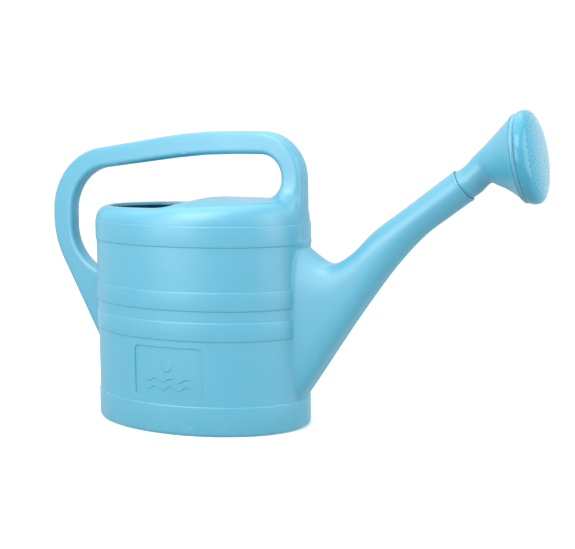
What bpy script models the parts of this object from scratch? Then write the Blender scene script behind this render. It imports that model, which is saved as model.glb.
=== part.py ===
"""Garden watering can: one blow-moulded body (tank, handle and spout) and a two-piece rose.

Metres, +Z up.  +X points the way the spout does, and the origin is the centre of the flat base.
The whole can is symmetric about the plane y = 0.
"""

import math

import bmesh
import bpy
from mathutils import Matrix, Vector

# Driving dimensions
WALL = 0.0018                 # wall of every moulding
GAP = 0.0004                  # clearance between touching pieces
SMALL_EDGE = 0.0006           # chamfer of the small rims
CUTTER_REACH = 0.02           # how far a cutter goes past what it cuts
WELD = 0.00001                # points closer than this are one point

TANK_LENGTH = 0.2668          # along X at the base, over the raised bands
TANK_WIDTH = 0.1896           # along Y at the base, over the raised bands
DRAFT = 0.0044                # each side leans out by this much per metre of height
LEAN = 0.0060                 # and the whole tank leans back by this much
TANK_STEPS = 48               # facets round the tank
BAND_PROUD = 0.0010           # how far the bands stand out of the wall
BAND_EDGE = 0.0004            # height of a band's chamfered edge
DECK_FRONT = 0.2634           # crown of the deck in front of the filling hole
DECK_REAR = 0.2525            # level of the deck round the filling hole
CROWN_DROP = 0.0085           # how much lower the front half is at its sides
RAMP_FOOT = -0.045            # the deck rises from here
RAMP_HEAD = 0.018             # to here
SHOULDER = 0.015              # how far in the rounded shoulder reaches
SHOULDER_STEPS = 5
DECK_RINGS = (0.85, 0.7, 0.5, 0.3, 0.1)         # rings of the deck, as shares of its size
BASE_RADIUS = 0.004
BASE_END_INSET = 0.008        # how much further in its edge goes at the two ends
BASE_STEPS = 3
BASE_GROOVE = 0.0012          # depth of the groove moulded round the base
GROOVE_EDGES = (0.71, 0.74, 0.79, 0.82)         # its edges, as shares of the base's size
COLLAR = (0.2127, 0.2363)     # lowest and highest point of each band
UPPER_BAND = (0.1417, 0.1634)
LOWER_BAND = (0.1078, 0.1295)
BASE_BAND_TOP = 0.0344

HOLE_FRONT = -0.028           # the filling hole: a D with its flat side to the front
HOLE_REAR = -0.116
HOLE_HALF_WIDTH = 0.056
HOLE_FRONT_RADIUS = 0.014
HOLE_REAR_RADIUS = 0.053
LIP_DEPTH = 0.0040            # turned-down lip round the filling hole

HANDLE_WIDTH = 0.027          # at its front column
HANDLE_TAPER = 0.0042         # how much closer its rear's two sides are to the middle plane
HANDLE_EDGE = 0.0065          # radius of the handle's four long edges

SPOUT_TIP = Vector((0.3162, 0.0, 0.2832))
SPOUT_TIP_ANGLE = math.radians(35.0)
SPOUT_TIP_RADIUS = 0.0184
SPOUT_LIP_RADIUS = 0.0189
SPOUT_LIP_LENGTH = 0.0030

NECK_RADIUS = 0.0165          # the rose's neck slides into the spout
NECK_DEPTH = 0.024            # of the neck behind the spout's tip
NECK_FRONT = 0.012            # of its straight part in front
CONE_FLARE = 0.65             # how straight the cone is: 1 is a plain cone
CONE_STRETCH = 0.06           # how much taller than wide it starts
FACE_TILT = math.radians(10.3)
FLANGE_CENTRE = Vector((0.3808, 0.0, 0.3129))
FLANGE_RADIUS = 0.0473
SKIRT_DEPTH = 0.0046          # the bead round the funnel's rim, behind the cap
SKIRT_STEP = 0.0008           # how far it stands out of the cone
SNAP_RING_RADIUS = 0.0454
SNAP_RING_DEPTH = 0.0055
CAP_REAR_RADIUS = 0.0480      # the cap swells from here
CAP_RADIUS = 0.0498           # to here
CAP_SIDE = 0.0060             # which is this far in front of its rear rim
CAP_DOME = 0.0136             # and then closes in a dome
DOME_EXPONENT = 2.6           # how square the dome is: 2 is an ellipsoid
DOME_STEPS = 9
SIDE_STEPS = 3
HOLE_RINGS = 7                # rings of spray holes, with six more holes in each ring
HOLE_PITCH = 0.0063
SPRAY_HOLE_RADIUS = 0.0007

BLUE = (0.17, 0.55, 0.74, 1.0)
GLOSSY_BLUE = (0.15, 0.56, 0.72, 1.0)


def collection(name):
    made = bpy.data.collections.new(name)
    bpy.context.scene.collection.children.link(made)
    return made


def material(name, colour, roughness):
    made = bpy.data.materials.new(name)
    made.use_nodes = True
    shader = made.node_tree.nodes["Principled BSDF"]
    shader.inputs["Base Color"].default_value = colour
    shader.inputs["Roughness"].default_value = roughness
    shader.inputs["Metallic"].default_value = 0.0
    return made


def add_object(name, mesh, home, finish=None):
    made = bpy.data.objects.new(name, mesh)
    home.objects.link(made)
    if finish is None:
        made.hide_render = True
        made.display_type = 'WIRE'
    else:
        mesh.materials.append(finish)
        mesh.shade_smooth()
        mesh.set_sharp_from_angle(angle=math.radians(35))
    return made


def corner_path(corners, step=math.radians(15)):
    """Points of a path through corners (u, v, radius), each corner rounded by its radius."""
    points = []
    count = len(corners)
    for index, (u, v, radius) in enumerate(corners):
        corner = Vector((u, v))
        if radius == 0:
            points.append(corner)
            continue
        before = (Vector(corners[index - 1][:2]) - corner).normalized()
        after = (Vector(corners[(index + 1) % count][:2]) - corner).normalized()
        turn = math.pi - before.angle(after)
        reach = radius * math.tan(turn / 2)
        centre = corner + (before + after).normalized() * radius / math.cos(turn / 2)
        start = corner + before * reach - centre
        side = 1 if before.x * after.y - before.y * after.x < 0 else -1
        pieces = max(1, round(turn / step))
        for k in range(pieces + 1):
            spin = Matrix.Rotation(side * turn * k / pieces, 2)
            points.append(centre + spin @ start)
    return points


def inset(corners, depth):
    """The same closed anticlockwise path, moved inwards by depth."""
    moved = []
    count = len(corners)
    for index, (u, v, radius) in enumerate(corners):
        corner = Vector((u, v))
        before = (corner - Vector(corners[index - 1][:2])).normalized()
        after = (Vector(corners[(index + 1) % count][:2]) - corner).normalized()
        normals = Vector((-before.y, before.x)) + Vector((-after.y, after.x))
        bisector = normals.normalized()
        reach = depth / bisector.dot(Vector((-before.y, before.x)))
        turns_left = before.x * after.y - before.y * after.x > 0
        new_radius = 0 if radius == 0 else radius - depth if turns_left else radius + depth
        place = corner + bisector * reach
        moved.append((place.x, place.y, new_radius))
    return moved


def plate(name, points, half_width, edge_radius, frame, home):
    """A flat outline given thickness, with rounded long edges; frame places its u, v and thickness axes."""
    curve = bpy.data.curves.new(name, 'CURVE')
    curve.dimensions = '2D'
    curve.fill_mode = 'BOTH'
    curve.extrude = half_width - edge_radius
    curve.bevel_depth = edge_radius
    curve.offset = -edge_radius
    curve.bevel_resolution = 1
    spline = curve.splines.new('POLY')
    spline.points.add(len(points) - 1)
    for target, point in zip(spline.points, points):
        target.co = (point.x, point.y, 0.0, 1.0)
    spline.use_cyclic_u = True
    holder = bpy.data.objects.new(name + "_outline", curve)
    home.objects.link(holder)
    bpy.context.view_layer.update()
    mesh = bpy.data.meshes.new_from_object(holder.evaluated_get(bpy.context.evaluated_depsgraph_get()))
    bpy.data.objects.remove(holder)
    work = bmesh.new()
    work.from_mesh(mesh)
    bmesh.ops.remove_doubles(work, verts=work.verts, dist=WELD)
    bmesh.ops.transform(work, matrix=frame, verts=work.verts)
    bmesh.ops.recalc_face_normals(work, faces=work.faces)
    work.to_mesh(mesh)
    work.free()
    return add_object(name, mesh, home)


def turned(name, profile, steps, y_scale, home, finish=None):
    """A profile of (radius, height) points, from the top down its outer side, turned about Z."""
    mesh = bpy.data.meshes.new(name + "_profile")
    mesh.from_pydata([(r, 0.0, z) for r, z in profile], [(k, k + 1) for k in range(len(profile) - 1)], [])
    holder = bpy.data.objects.new(name + "_profile", mesh)
    home.objects.link(holder)
    screw = holder.modifiers.new("turn", 'SCREW')
    screw.steps = steps
    screw.render_steps = steps
    screw.use_merge_vertices = True
    screw.merge_threshold = WELD
    bpy.context.view_layer.update()
    shape = bpy.data.meshes.new_from_object(holder.evaluated_get(bpy.context.evaluated_depsgraph_get()))
    bpy.data.objects.remove(holder)
    shape.transform(Matrix.Diagonal((1.0, y_scale, 1.0, 1.0)))
    return add_object(name, shape, home, finish)


def loft(name, rings, home, finish=None, closed=False):
    """Skin over rings of points; its ends are capped, or meet when closed."""
    work = bmesh.new()
    rows = [[work.verts.new(point) for point in ring] for ring in rings]
    size = len(rows[0])
    pairs = list(zip(rows, rows[1:]))
    if closed:
        pairs.append((rows[-1], rows[0]))
    else:
        work.faces.new(rows[0])
        work.faces.new(reversed(rows[-1]))
    for row, following in pairs:
        for k in range(size):
            step = (k + 1) % size
            work.faces.new((row[k], row[step], following[step], following[k]))
    bmesh.ops.recalc_face_normals(work, faces=work.faces)
    mesh = bpy.data.meshes.new(name)
    work.to_mesh(mesh)
    work.free()
    return add_object(name, mesh, home, finish)


def combine(target, tool, operation):
    modifier = target.modifiers.new(tool.name, 'BOOLEAN')
    modifier.operation = operation
    modifier.solver = 'EXACT'
    modifier.object = tool


# Plate frames: u and v of an outline to world axes, thickness along the third
SIDE_VIEW = Matrix(((1, 0, 0, 0), (0, 0, -1, 0), (0, 1, 0, 0), (0, 0, 0, 1)))


def top_view(height):
    return Matrix.Translation((0.0, 0.0, height))


# The tank: rings of an ellipse, from the middle of the base up the wall and in over the deck

def tank_ring(height, depth, scale=1.0, end_inset=0.0):
    """The tank's ellipse at a height, moved in by depth, and then scaled about the middle."""
    half_length = (TANK_LENGTH / 2 + DRAFT * height - depth - end_inset) * scale
    half_width = (TANK_WIDTH / 2 + DRAFT * height - depth) * scale
    middle = -LEAN * height
    angles = [2 * math.pi * k / TANK_STEPS for k in range(TANK_STEPS)]
    return [Vector((middle + half_length * math.cos(a), half_width * math.sin(a), height)) for a in angles]


def deck_height(x, y):
    """The deck is level round the filling hole, and rises to a crowned front half."""
    t = min(max((x - RAMP_FOOT) / (RAMP_HEAD - RAMP_FOOT), 0.0), 1.0)
    crown = DECK_FRONT - DECK_REAR - CROWN_DROP * (2 * y / TANK_WIDTH) ** 2
    return DECK_REAR + crown * t * t * (3 - 2 * t)


def top_rings(thinner):
    """The rounded shoulder above the collar, and the deck."""
    rings = []
    for k in range(1, SHOULDER_STEPS + 1):
        angle = math.pi / 2 * k / SHOULDER_STEPS
        depth = BAND_PROUD + thinner + (SHOULDER - thinner) * (1 - math.cos(angle))
        ring = tank_ring(COLLAR[1], depth)
        for point in ring:
            rise = deck_height(point.x, point.y) - thinner - COLLAR[1]
            point.z = COLLAR[1] + rise * math.sin(angle)
        rings.append(ring)
    for scale in DECK_RINGS:
        ring = tank_ring(COLLAR[1], BAND_PROUD + SHOULDER, scale)
        for point in ring:
            point.z = deck_height(point.x, point.y) - thinner
        rings.append(ring)
    return rings


def band(low, high):
    """Depth and height of the rings of one raised band, from its lower edge to its top edge."""
    return [(BAND_PROUD, low), (0.0, low + BAND_EDGE), (0.0, high - BAND_EDGE), (BAND_PROUD, high)]


def base_rings(floor, side):
    """The rounded edge between the floor and the wall."""
    rings = []
    for k in range(BASE_STEPS + 1):
        angle = math.pi / 2 * k / BASE_STEPS
        height = floor + BASE_RADIUS * (1 - math.cos(angle))
        share = 1 - math.sin(angle)
        rings.append(tank_ring(height, side + BASE_RADIUS * share, end_inset=BASE_END_INSET * share))
    return rings


def tank_outside(home, finish):
    groove = zip((0.0, BASE_GROOVE, BASE_GROOVE, 0.0), GROOVE_EDGES)
    rings = [tank_ring(height, 0.0, scale) for height, scale in groove]
    rings += base_rings(0.0, 0.0)
    rows = [(0.0, BASE_BAND_TOP - BAND_EDGE), (BAND_PROUD, BASE_BAND_TOP)]
    rows += band(*LOWER_BAND) + band(*UPPER_BAND) + band(*COLLAR)
    rings += [tank_ring(height, depth) for depth, height in rows]
    return loft("can_body", rings + top_rings(0.0), home, finish)


def tank_hollow(home):
    side = BAND_PROUD + WALL
    rings = base_rings(WALL + BASE_GROOVE, side) + [tank_ring(COLLAR[1], side)]
    return loft("tank_hollow", rings + top_rings(WALL), home)


def hole_corners():
    half = HOLE_HALF_WIDTH
    front = HOLE_FRONT_RADIUS
    rear = HOLE_REAR_RADIUS
    return [(HOLE_FRONT, -half, front), (HOLE_FRONT, half, front),
            (HOLE_REAR, half, rear), (HOLE_REAR, -half, rear)]


# The handle: its outline in the middle plane, anticlockwise, as corners with their radii

HANDLE_CORNERS = [
    (-0.1152, 0.0370, 0),          # lower root, inside the tank
    (-0.1080, 0.1680, 0),
    (-0.1780, 0.1615, 0.058),      # hand hole, behind the tank
    (-0.1777, 0.2900, 0.055),
    (0.0070, 0.3139, 0.600),
    (0.1062, 0.3139, 0.026),       # hand hole, front column
    (0.1062, 0.2620, 0.022),
    (0.0600, 0.2620, 0),           # front root, inside the tank
    (0.0600, 0.2180, 0),
    (0.1330, 0.2180, 0),
    (0.1305, 0.3400, 0.054),       # outer edge, front to rear
    (-0.0050, 0.3400, 0.600),
    (-0.2070, 0.3094, 0.079),
    (-0.2070, 0.2070, 0.110),
]

# The spout: stations from inside the tank to the tip, as top and bottom points and half width

TIP_UP = Vector((-math.sin(SPOUT_TIP_ANGLE), 0.0, math.cos(SPOUT_TIP_ANGLE)))
TIP_AXIS = Vector((math.cos(SPOUT_TIP_ANGLE), 0.0, math.sin(SPOUT_TIP_ANGLE)))
SPOUT_STATIONS = [
    ((0.1120, 0.2330), (0.1120, 0.0080), 0.0255, 3.4),
    ((0.1400, 0.2046), (0.1387, 0.0455), 0.0252, 3.2),
    ((0.1650, 0.1922), (0.1770, 0.1032), 0.0246, 3.0),
    ((0.1905, 0.2048), (0.2054, 0.1444), 0.0233, 2.8),
    ((0.2170, 0.2315), (0.2410, 0.1920), 0.0212, 2.4),
    ((0.2530, 0.2585), (0.2735, 0.2275), 0.0190, 2.1),
    ((0.2825, 0.2810), (0.3036, 0.2509), SPOUT_TIP_RADIUS, 2.0),
]
SPOUT_POINTS = 24
BORE_MARGIN = 0.004           # how far the mouth's bore is cut past the neck and past the tip


def smooth(values, t):
    """Catmull-Rom curve through a list of numbers, t counted in list steps."""
    k = min(int(t), len(values) - 2)
    f = t - k
    a = values[max(k - 1, 0)]
    b, c = values[k], values[k + 1]
    d = values[min(k + 2, len(values) - 1)]
    square = 2 * a - 5 * b + 4 * c - d
    cube = 3 * b - a - 3 * c + d
    return 0.5 * (2 * b + (c - a) * f + square * f ** 2 + cube * f ** 3)


def section(centre, up, half_height, half_width, exponent, count):
    """One ring: a superellipse in the plane of up and Y."""
    ring = []
    for k in range(count):
        angle = 2 * math.pi * k / count
        c, s = math.cos(angle), math.sin(angle)
        across = math.copysign(abs(c) ** (2 / exponent), c) * half_width
        rise = math.copysign(abs(s) ** (2 / exponent), s) * half_height
        ring.append(centre + up * rise + Vector((0.0, across, 0.0)))
    return ring


def spout_rings(thinner, steps_each=2):
    """Rings of the spout's web and tube, thinner than the outside by the given depth."""
    rings = []
    tops, bottoms, halves, exponents = zip(*SPOUT_STATIONS)
    total = (len(SPOUT_STATIONS) - 1) * steps_each
    for n in range(total + 1):
        t = n / steps_each
        top = Vector((smooth([p[0] for p in tops], t), 0.0, smooth([p[1] for p in tops], t)))
        bottom = Vector((smooth([p[0] for p in bottoms], t), 0.0, smooth([p[1] for p in bottoms], t)))
        span = top - bottom
        half_height = span.length / 2 - thinner
        half_width = smooth(halves, t) - thinner
        ring = section((top + bottom) / 2, span.normalized(), half_height, half_width, smooth(exponents, t),
                       SPOUT_POINTS)
        rings.append(ring)
    return rings


def tip_ring(along, radius):
    return section(SPOUT_TIP + TIP_AXIS * along, TIP_UP, radius, radius, 2.0, SPOUT_POINTS)


def spout_outside(home):
    rings = spout_rings(0.0)
    rings.append(tip_ring(-SPOUT_LIP_LENGTH - SMALL_EDGE, SPOUT_TIP_RADIUS))
    rings.append(tip_ring(-SPOUT_LIP_LENGTH, SPOUT_LIP_RADIUS))
    rings.append(tip_ring(-SMALL_EDGE, SPOUT_LIP_RADIUS))
    rings.append(tip_ring(0.0, SPOUT_LIP_RADIUS - SMALL_EDGE))
    return loft("spout_outside", rings, home)


def spout_hollow(home):
    bore = NECK_RADIUS + GAP
    rings = spout_rings(WALL)
    rings += [tip_ring(-NECK_DEPTH - BORE_MARGIN, bore), tip_ring(BORE_MARGIN, bore)]
    return loft("spout_hollow", rings, home)


def taper(handle):
    """Narrows the handle from its front column to its rear, and keeps its wall and its edges."""
    front = max(corner[0] for corner in HANDLE_CORNERS)
    rear = min(corner[0] for corner in HANDLE_CORNERS)
    for vert in handle.data.vertices:
        share = (front - vert.co.x) / (front - rear)
        vert.co.y -= math.copysign(HANDLE_TAPER * share, vert.co.y)


def build_can(home, tools, finish):
    can = tank_outside(home, finish)
    hollow = tank_hollow(tools)
    outline = corner_path(HANDLE_CORNERS)
    inner_outline = corner_path(inset(HANDLE_CORNERS, WALL))
    handle = plate("handle_outside", outline, HANDLE_WIDTH / 2, HANDLE_EDGE, SIDE_VIEW, tools)
    handle_hollow = plate("handle_hollow", inner_outline, HANDLE_WIDTH / 2 - WALL, HANDLE_EDGE - WALL,
                          SIDE_VIEW, tools)
    taper(handle)
    taper(handle_hollow)
    lip_outline = corner_path(inset(hole_corners(), -WALL))
    lip_middle = DECK_REAR - LIP_DEPTH + CUTTER_REACH
    lip = plate("filling_lip", lip_outline, CUTTER_REACH, 0.0, top_view(lip_middle), tools)
    hole = plate("filling_hole", corner_path(hole_corners()), CUTTER_REACH, 0.0, top_view(DECK_REAR), tools)
    combine(hollow, lip, 'DIFFERENCE')
    combine(can, handle, 'UNION')
    combine(can, spout_outside(tools), 'UNION')
    combine(can, hollow, 'DIFFERENCE')
    combine(can, handle_hollow, 'DIFFERENCE')
    combine(can, spout_hollow(tools), 'DIFFERENCE')
    combine(can, hole, 'DIFFERENCE')
    return can


# The rose

ROSE_POINTS = 36
FACE_AXIS = Vector((math.cos(FACE_TILT), 0.0, math.sin(FACE_TILT)))
FACE_UP = Vector((-math.sin(FACE_TILT), 0.0, math.cos(FACE_TILT)))
BEND = Vector((0.3372, 0.0, 0.3016))      # where the neck's axis opens into the cone
BEND_TILT = math.radians(28.0)


def rose_ring(centre, tilt, radius, up_radius=None):
    """A ring whose axis leans up by tilt, given from the spout's tip, which is the funnel's origin."""
    up = Vector((-math.sin(tilt), 0.0, math.cos(tilt)))
    return section(centre - SPOUT_TIP, up, up_radius or radius, radius, 2.0, ROSE_POINTS)


def cone_rings(thinner, end_radius, end_centre, count=5):
    """Rings from the bend to the skirt; the cone flares towards the skirt."""
    rings = []
    for k in range(count + 1):
        t = k / count
        flare = t * (CONE_FLARE + (1 - CONE_FLARE) * t)
        centre = BEND.lerp(end_centre, t)
        tilt = BEND_TILT + (FACE_TILT - BEND_TILT) * t
        radius = (NECK_RADIUS - thinner) * (1 - flare) + end_radius * flare
        stretch = 1 + CONE_STRETCH * (1 - t)
        rings.append(rose_ring(centre, tilt, radius, radius * stretch))
    return rings


def build_funnel(home, finish):
    cone_end = FLANGE_CENTRE - FACE_AXIS * SKIRT_DEPTH
    bead_start = cone_end + FACE_AXIS * SMALL_EDGE
    ring_front = FLANGE_CENTRE + FACE_AXIS * SNAP_RING_DEPTH
    neck_end = SPOUT_TIP - TIP_AXIS * NECK_DEPTH
    neck_front = SPOUT_TIP + TIP_AXIS * NECK_FRONT
    neck_inner = NECK_RADIUS - WALL
    outside = [
        rose_ring(neck_end, SPOUT_TIP_ANGLE, NECK_RADIUS - SMALL_EDGE),
        rose_ring(neck_end + TIP_AXIS * SMALL_EDGE, SPOUT_TIP_ANGLE, NECK_RADIUS),
        rose_ring(neck_front, SPOUT_TIP_ANGLE, NECK_RADIUS),
    ]
    outside += cone_rings(0.0, FLANGE_RADIUS - SKIRT_STEP, cone_end)
    outside += [
        rose_ring(bead_start, FACE_TILT, FLANGE_RADIUS),
        rose_ring(FLANGE_CENTRE, FACE_TILT, FLANGE_RADIUS),
        rose_ring(FLANGE_CENTRE, FACE_TILT, SNAP_RING_RADIUS),
        rose_ring(ring_front, FACE_TILT, SNAP_RING_RADIUS),
    ]
    inside = [rose_ring(ring_front, FACE_TILT, SNAP_RING_RADIUS - WALL)]
    inside += reversed(cone_rings(WALL, SNAP_RING_RADIUS - WALL, cone_end + FACE_AXIS * WALL))
    inside += [
        rose_ring(neck_front, SPOUT_TIP_ANGLE, neck_inner),
        rose_ring(neck_end, SPOUT_TIP_ANGLE, neck_inner),
    ]
    funnel = loft("rose_funnel", outside + inside, home, finish, closed=True)
    funnel.location = SPOUT_TIP
    return funnel


def dome(radius, height, step):
    """(radius, height) on the dome's curve: step 0 is its middle and the last step its widest place."""
    angle = math.pi / 2 * (1 - step / DOME_STEPS)
    across = math.cos(angle) ** (2 / DOME_EXPONENT) if step else 0.0
    return radius * across, CAP_SIDE + height * math.sin(angle) ** (2 / DOME_EXPONENT)


def cap_profile():
    """From the middle of the dome, out and round its edge, back to the rear rim and up inside."""
    outside = [dome(CAP_RADIUS, CAP_DOME, step) for step in range(DOME_STEPS + 1)]
    for step in range(1, SIDE_STEPS + 1):
        angle = math.pi / 2 * step / SIDE_STEPS
        radius = CAP_REAR_RADIUS + (CAP_RADIUS - CAP_REAR_RADIUS) * math.cos(angle)
        outside.append((radius, CAP_SIDE - (CAP_SIDE - GAP) * math.sin(angle)))
    bore = SNAP_RING_RADIUS + GAP
    inside = [dome(CAP_RADIUS - WALL, CAP_DOME - WALL, step) for step in range(DOME_STEPS, -1, -1)]
    return outside + [(bore, GAP), (bore, CAP_SIDE / 2)] + inside


def spray_holes(home):
    """Rings of spray holes: one in the middle, then six more in each ring."""
    work = bmesh.new()
    places = [(0.0, 0.0)]
    for ring in range(1, HOLE_RINGS + 1):
        for k in range(6 * ring):
            angle = 2 * math.pi * k / (6 * ring)
            places.append((HOLE_PITCH * ring * math.cos(angle), HOLE_PITCH * ring * math.sin(angle)))
    for x, y in places:
        bmesh.ops.create_cone(
            work, cap_ends=True, segments=6, radius1=SPRAY_HOLE_RADIUS, radius2=SPRAY_HOLE_RADIUS,
            depth=CUTTER_REACH, matrix=Matrix.Translation((x, y, CAP_DOME)))
    mesh = bpy.data.meshes.new("spray_holes")
    work.to_mesh(mesh)
    work.free()
    return add_object("spray_holes", mesh, home)


def build_cap(home, tools, finish):
    cap = turned("rose_face", cap_profile(), ROSE_POINTS, 1.0, home, finish)
    holes = spray_holes(tools)
    for piece in (cap, holes):
        piece.location = FLANGE_CENTRE
        piece.rotation_euler = (0.0, math.pi / 2 - FACE_TILT, 0.0)
    combine(cap, holes, 'DIFFERENCE')
    return cap


def main():
    for leftover in list(bpy.data.objects):
        bpy.data.objects.remove(leftover)
    parts = collection("watering_can")
    tools = collection("cutters")
    body_finish = material("can_plastic", BLUE, 0.38)
    rose_finish = material("rose_plastic", GLOSSY_BLUE, 0.16)
    build_can(parts, tools, body_finish)
    build_funnel(parts, rose_finish)
    build_cap(parts, tools, rose_finish)


main()
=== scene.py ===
"""Looks of the watering can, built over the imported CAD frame.

Metres, +Z up, the spout points to +X and the can is symmetric about y = 0.  The can's skin is one
distance field (tank, handle and spout joined by fillets), meshed and then given its raised bands,
label panel, filling hole and spout mouth.  The rose is a thin cone and a pierced, glossy cap.
"""

import math

import bmesh
import bpy
import numpy as np
import openvdb
from mathutils import Matrix, Vector


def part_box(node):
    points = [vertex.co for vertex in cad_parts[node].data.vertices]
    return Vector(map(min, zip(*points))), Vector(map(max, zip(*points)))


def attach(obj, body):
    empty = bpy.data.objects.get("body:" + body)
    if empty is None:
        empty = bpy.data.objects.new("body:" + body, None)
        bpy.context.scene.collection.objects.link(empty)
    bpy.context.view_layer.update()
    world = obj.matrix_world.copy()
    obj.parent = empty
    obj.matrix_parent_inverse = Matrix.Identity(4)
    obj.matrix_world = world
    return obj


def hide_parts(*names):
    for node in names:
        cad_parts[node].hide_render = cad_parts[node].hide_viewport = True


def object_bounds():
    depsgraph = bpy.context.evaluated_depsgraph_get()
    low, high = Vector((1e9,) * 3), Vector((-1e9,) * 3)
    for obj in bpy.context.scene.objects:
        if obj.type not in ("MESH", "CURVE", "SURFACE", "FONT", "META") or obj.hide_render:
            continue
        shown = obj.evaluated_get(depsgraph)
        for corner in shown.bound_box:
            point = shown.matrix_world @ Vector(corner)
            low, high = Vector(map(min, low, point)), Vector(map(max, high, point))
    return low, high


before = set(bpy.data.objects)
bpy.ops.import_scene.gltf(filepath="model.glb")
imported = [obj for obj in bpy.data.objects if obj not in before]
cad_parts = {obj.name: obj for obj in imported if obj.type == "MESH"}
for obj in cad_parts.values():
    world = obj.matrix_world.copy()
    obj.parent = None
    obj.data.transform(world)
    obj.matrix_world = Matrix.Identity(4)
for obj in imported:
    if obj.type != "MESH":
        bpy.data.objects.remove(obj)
cad_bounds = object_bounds()

# Sizes in metres, as in the CAD where no comment says otherwise
WALL = 0.0018
GAP = 0.0004                      # play round the neck, and between the cap and its ring
TANK_LENGTH = 0.2668
TANK_WIDTH = 0.1896
DRAFT = 0.0044
LEAN = 0.0060
BAND_PROUD = 0.0010
BAND_EDGE = 0.0015                # height of a band's edge, taller than in the CAD and round
DECK_FRONT = 0.2634
DECK_REAR = 0.2525
CROWN_DROP = 0.0085
RAMP_FOOT = -0.033                # the ramp is a little steeper than in the CAD
RAMP_HEAD = 0.016
SHOULDER = 0.015
BASE_RADIUS = 0.004
BASE_END_INSET = 0.008
BASE_GROOVE = 0.0012
COLLAR = (0.2127, 0.2363)
UPPER_BAND = (0.1417, 0.1634)
LOWER_BAND = (0.1078, 0.1295)
BASE_BAND_TOP = 0.0344
HOLE_FRONT = -0.028
HOLE_REAR = -0.116
HOLE_HALF_WIDTH = 0.056
HOLE_FRONT_RADIUS = 0.014
HOLE_REAR_RADIUS = 0.053
LIP_DEPTH = 0.0040
HANDLE_WIDTH = 0.027
HANDLE_TAPER = 0.0042

# Detail of the can that the CAD leaves out or has coarser
BAND_ROOT = 0.006                 # how deep the bands are set into the skin
BAND_STOP = math.radians(15.8)    # the two middle bands stop this far from the spout's side
BAND_CORNER = 0.0008              # radius of their ends' corners
FOOT_WIDTH = 0.022                # of the ring under the tank that carries the can's weight
FOOT_EDGE = 0.0006                # height of the edges at the base's groove
FOOT_BEVEL = 0.0005
PAD_INSET = TANK_WIDTH / 2 * 0.28         # how far in from the wall the base's middle pad starts
PAD_TOP = 0.004                   # the pad is set into the skin up to here
HOLE_EDGE = 0.0012                # the rounded edge of the filling hole
HANDLE_EDGE = 0.0070              # how far in from the outer outline its edge is rounded
HANDLE_INNER_EDGE = 0.0045        # and from the hand hole
HANDLE_SIDE_EDGE = 0.0060         # how far in from its sides
COLUMN_FILLET = 0.022             # where the handle's front column grows out of the deck
WEB_FILLET = 0.006                # where its rear web leaves the tank
SPOUT_FILLET = 0.0045             # where the spout's web leaves the tank
PARTING_WIDTH = 0.0005            # half the width of the mould's parting line
PARTING_HEIGHT = 0.00022
CUTTER_REACH = 0.03               # how far the filling hole's cutter goes past the deck
CORNER_STEPS = 8                  # pieces of a rounded corner

PANEL = (-0.040, 0.047, 0.041, 0.100)    # label panel on the near side: x and z limits
PANEL_CORNER = 0.006
PANEL_DEPTH = 0.0011
PANEL_SLOPE = PANEL_DEPTH * 0.5   # how far its sides slope in on their way down
PANEL_CUT = 0.004                 # how far its cutter stands out of the wall
MOTIF_HEIGHT = 0.0009             # of the drop and waves in the panel
MOTIF_ROOT = 0.0006               # how deep they are set into its floor
DROP = (0.0035, 0.082, 0.0085)    # x, z and radius of the drop
WAVE_LEVELS = (0.063, 0.054)
WAVE_LENGTH = 0.030               # half of it
WAVE_THICKNESS = 0.0026
WAVE_SWING = 0.0021

SPOUT_TIP = Vector((0.3162, 0.0, 0.2832))
SPOUT_TIP_ANGLE = math.radians(35.0)
SPOUT_TIP_RADIUS = 0.0184
SPOUT_LIP_RADIUS = 0.0189
SPOUT_LIP_LENGTH = 0.0030
BEAD_ROOT = 0.0004                # how deep the mouth's bead is set into the spout
BEAD_SLACK = 0.0002               # how much wider its ring is inside than the bore
BORE_BEHIND = 0.004               # how far the bore's cutter goes past the neck's end
BORE_AHEAD = 0.006                # and in front of the mouth

# The rose
NECK_RADIUS = 0.0165
NECK_DEPTH = 0.024
NECK_FRONT = 0.012
NECK_START = 0.002                # the neck's part that shows starts this far in front of the mouth
NECK_TAPER = 0.0015               # length of the lead-in at its far end
CONE_FLARE = 0.65                 # how straight the cone is: 1 is a plain cone
CONE_STRETCH = 0.06               # how much taller than wide it starts
FACE_TILT = math.radians(10.3)
FLANGE_CENTRE = Vector((0.3808, 0.0, 0.3129))
FLANGE_RADIUS = 0.0473
SKIRT_DEPTH = 0.0046
SKIRT_STEP = 0.0003               # how far the rim's bead stands out of the cone, less than in the CAD
SNAP_RING_RADIUS = 0.0454
SNAP_RING_DEPTH = 0.0055
BEND = Vector((0.3372, 0.0, 0.3016))
BEND_TILT = math.radians(28.0)
CAP_REAR_RADIUS = 0.0480
CAP_RADIUS = 0.0496               # 0.2 mm less than in the CAD, so that its fine mesh stays inside
CAP_SIDE = 0.0060
CAP_DOME = 0.0135                 # and 0.1 mm less here
CAP_EDGE = 0.0005                 # the rounded edge of its rear rim
DOME_EXPONENT = 2.6
DOME_STEPS = 40
SIDE_STEPS = 9
HOLE_RINGS = 7
HOLE_PITCH = 0.0063
SPRAY_HOLE_RADIUS = 0.0006
SPRAY_CUTTER_LENGTH = 0.02
SMALL_EDGE = 0.0006               # the rounded edge of the small rims

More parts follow.
